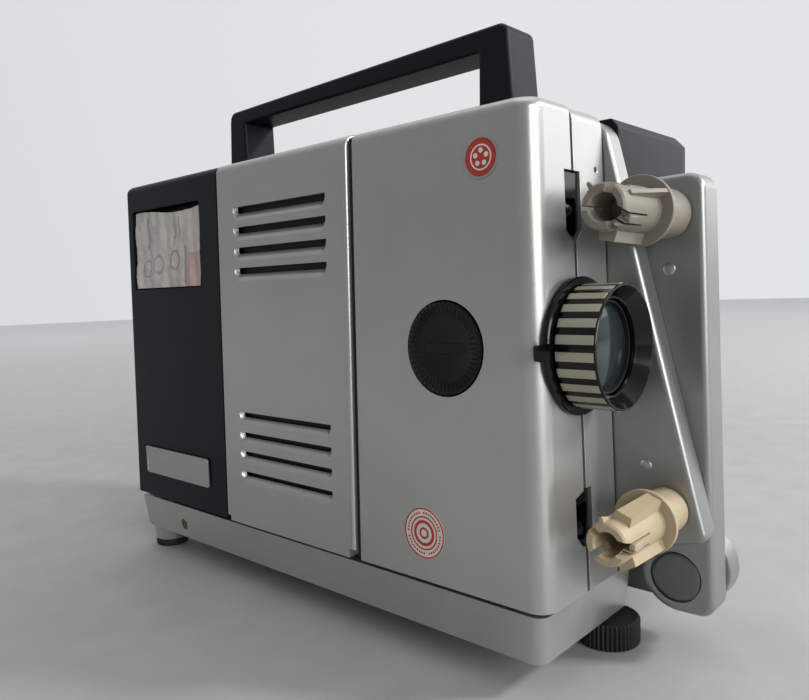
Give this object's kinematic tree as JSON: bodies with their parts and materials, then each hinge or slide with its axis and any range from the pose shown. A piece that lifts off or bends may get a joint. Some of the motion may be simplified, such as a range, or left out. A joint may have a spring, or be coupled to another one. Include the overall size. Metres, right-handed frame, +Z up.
{
  "type": "film projector",
  "caption": "Portable Super 8 film projector with two folding reel arms, a zoom lens, lift-off side covers and a carrying handle.",
  "frame": {"origin": "middle of the overall box, at the height of the table that the feet stand on", "axes": "+Z up, +Y from the lens to the rear, +X from the film side to the motor side; the lens faces -Y and the reel spindles point to -X"},
  "size_m": [0.1138, 0.267, 0.2103],
  "materials": {
    "silver_paint": "satin silver paint with fine metallic grain, worn at edges",
    "slate_plastic": "dark blue-grey moulded plastic, fine texture",
    "black_plastic": "black, half gloss",
    "beige_plastic": "aged cream moulded plastic",
    "steel": "plain",
    "brass": "turned",
    "aluminium": "satin",
    "rubber": "black matte",
    "glass": "clear, polished",
    "ceramic": "unglazed",
    "copper": "enamelled copper winding",
    "paper": null
  },
  "bodies": {
    "chassis": {"base_tray": "silver_paint", "centre_panel": "silver_paint", "takeup_bracket": "silver_paint", "right_cover": "slate_plastic", "rear_cover": "slate_plastic", "handle": "slate_plastic", "upper_film_guide": "black_plastic", "lower_film_guide": "black_plastic", "mains_inlet": "black_plastic", "fuse_cap": "black_plastic", "chassis_plate": "steel", "gate_plate": "steel", "claw": "steel", "shaft_bracket": "steel", "motor": "steel", "motor_mount": "steel", "lamp_bracket": "steel", "transformer_core": "steel", "supply_pivot": "steel", "name_plate": "aluminium", "lens_holder": "aluminium", "lamp_house": "aluminium", "takeup_pivot": "aluminium", "rear_foot_left": "rubber", "rear_foot_right": "rubber", "drive_belt": "rubber", "lamp_reflector": "glass", "lamp_capsule": "glass", "lamp_socket": "ceramic", "transformer_coil": "copper", "leaflet": "paper"},
    "supply_arm": {"supply_arm": "silver_paint", "supply_arm_cover": "steel"},
    "takeup_arm": {"takeup_arm": "silver_paint", "takeup_arm_cover": "steel", "takeup_belt": "rubber"},
    "arm_pulley": {"arm_pulley": "black_plastic"},
    "supply_spindle": {"supply_spindle": "beige_plastic"},
    "takeup_spindle": {"takeup_spindle": "beige_plastic"},
    "film_cover": {"film_cover": "silver_paint"},
    "lamp_door": {"lamp_door": "silver_paint"},
    "lens_carriage": {"lens_tube": "black_plastic", "lens_flange": "black_plastic", "front_lens": "glass", "rear_lens": "glass", "focus_rack": "brass"},
    "zoom_ring": {"zoom_ring": "black_plastic"},
    "focus_knob": {"focus_knob": "black_plastic"},
    "pressure_plate": {"pressure_plate": "steel"},
    "main_shaft": {"main_shaft": "steel", "shutter": "black_plastic", "main_pulley": "aluminium"},
    "layshaft": {"layshaft": "brass"},
    "upper_sprocket": {"upper_sprocket": "steel"},
    "lower_sprocket": {"lower_sprocket": "steel"},
    "motor_shaft": {"motor_shaft": "steel", "fan_wheel": "black_plastic"},
    "function_knob": {"function_knob": "black_plastic"},
    "foot_screw": {"foot_screw": "steel"},
    "foot_wheel": {"foot_wheel": "rubber"}
  },
  "joints": [
    {"name": "takeup_arm_swing", "type": "hinge", "parent": "chassis", "child": "takeup_arm", "pos_m": [-0.00135, -0.12045, 0.0263], "axis": [1, 0, 0], "range_deg": [0, 120]},
    {"name": "supply_arm_swing", "type": "hinge", "parent": "chassis", "child": "supply_arm", "pos_m": [-0.01035, -0.09395, 0.1626], "axis": [-1, 0, 0], "range_deg": [0, 90]},
    {"name": "supply_spindle_spin", "type": "hinge", "parent": "supply_arm", "child": "supply_spindle", "pos_m": [-0.01075, -0.12145, 0.0509], "axis": [1, 0, 0], "continuous": true},
    {"name": "takeup_spindle_spin", "type": "hinge", "parent": "takeup_arm", "child": "takeup_spindle", "pos_m": [-0.00175, -0.11845, 0.1409], "axis": [1, 0, 0], "continuous": true},
    {"name": "arm_pulley_spin", "type": "hinge", "parent": "takeup_arm", "child": "arm_pulley", "pos_m": [0.00285, -0.12045, 0.0263], "axis": [1, 0, 0], "continuous": true},
    {"name": "film_cover_lift_off", "type": "slide", "parent": "chassis", "child": "film_cover", "axis": [-1, 0, 0], "range_m": [0, 0.06]},
    {"name": "lamp_door_lift_off", "type": "slide", "parent": "chassis", "child": "lamp_door", "axis": [-1, 0, 0], "range_m": [0, 0.06]},
    {"name": "lens_focus", "type": "slide", "parent": "chassis", "child": "lens_carriage", "axis": [0, -1, 0], "range_m": [0, 0.004]},
    {"name": "focus_knob_turn", "type": "hinge", "parent": "chassis", "child": "focus_knob", "pos_m": [-0.04895, -0.06985, 0.1023], "axis": [1, 0, 0], "range_deg": [-60, 0]},
    {"name": "zoom_ring_turn", "type": "hinge", "parent": "lens_carriage", "child": "zoom_ring", "pos_m": [-0.03095, -0.10555, 0.1023], "axis": [0, -1, 0], "range_deg": [-30, 45]},
    {"name": "pressure_plate_open", "type": "slide", "parent": "chassis", "child": "pressure_plate", "axis": [0, -1, 0], "range_m": [0, 0.0012], "stiffness_N_per_m": 200},
    {"name": "main_shaft_spin", "type": "hinge", "parent": "chassis", "child": "main_shaft", "pos_m": [0.00385, -0.04555, 0.1023], "axis": [0, 1, 0], "continuous": true},
    {"name": "layshaft_spin", "type": "hinge", "parent": "chassis", "child": "layshaft", "pos_m": [-0.00595, -0.06535, 0.1023], "axis": [0, 0, 1], "continuous": true},
    {"name": "upper_sprocket_spin", "type": "hinge", "parent": "chassis", "child": "upper_sprocket", "pos_m": [-0.03415, -0.05355, 0.15], "axis": [1, 0, 0], "continuous": true},
    {"name": "lower_sprocket_spin", "type": "hinge", "parent": "chassis", "child": "lower_sprocket", "pos_m": [-0.03415, -0.05355, 0.056], "axis": [1, 0, 0], "continuous": true},
    {"name": "motor_spin", "type": "hinge", "parent": "chassis", "child": "motor_shaft", "pos_m": [0.02185, -0.00555, 0.062], "axis": [0, 1, 0], "continuous": true},
    {"name": "function_knob_turn", "type": "hinge", "parent": "chassis", "child": "function_knob", "pos_m": [0.01585, 0.12425, 0.13], "axis": [0, 1, 0], "range_deg": [0, 120]},
    {"name": "foot_screw_raise", "type": "slide", "parent": "chassis", "child": "foot_screw", "axis": [0, 0, -1], "range_m": [0, 0.008]},
    {"name": "foot_wheel_turn", "type": "hinge", "parent": "foot_screw", "child": "foot_wheel", "pos_m": [-0.00355, -0.09815, 0], "axis": [0, 0, 1], "range_deg": [0, 2881]}
  ],
  "couplings": [
    {"joint": "supply_arm_swing", "follows": "takeup_arm_swing", "ratio": 0.75},
    {"joint": "arm_pulley_spin", "follows": "takeup_spindle_spin", "ratio": 1},
    {"joint": "focus_knob_turn", "follows": "lens_focus", "rad_per_m": -250},
    {"joint": "layshaft_spin", "follows": "main_shaft_spin", "ratio": -1},
    {"joint": "upper_sprocket_spin", "follows": "main_shaft_spin", "ratio": 0.083333},
    {"joint": "lower_sprocket_spin", "follows": "main_shaft_spin", "ratio": 0.083333},
    {"joint": "motor_spin", "follows": "main_shaft_spin", "ratio": 3.4444},
    {"joint": "foot_wheel_turn", "follows": "foot_screw_raise", "rad_per_m": 6283.2}
  ]
}
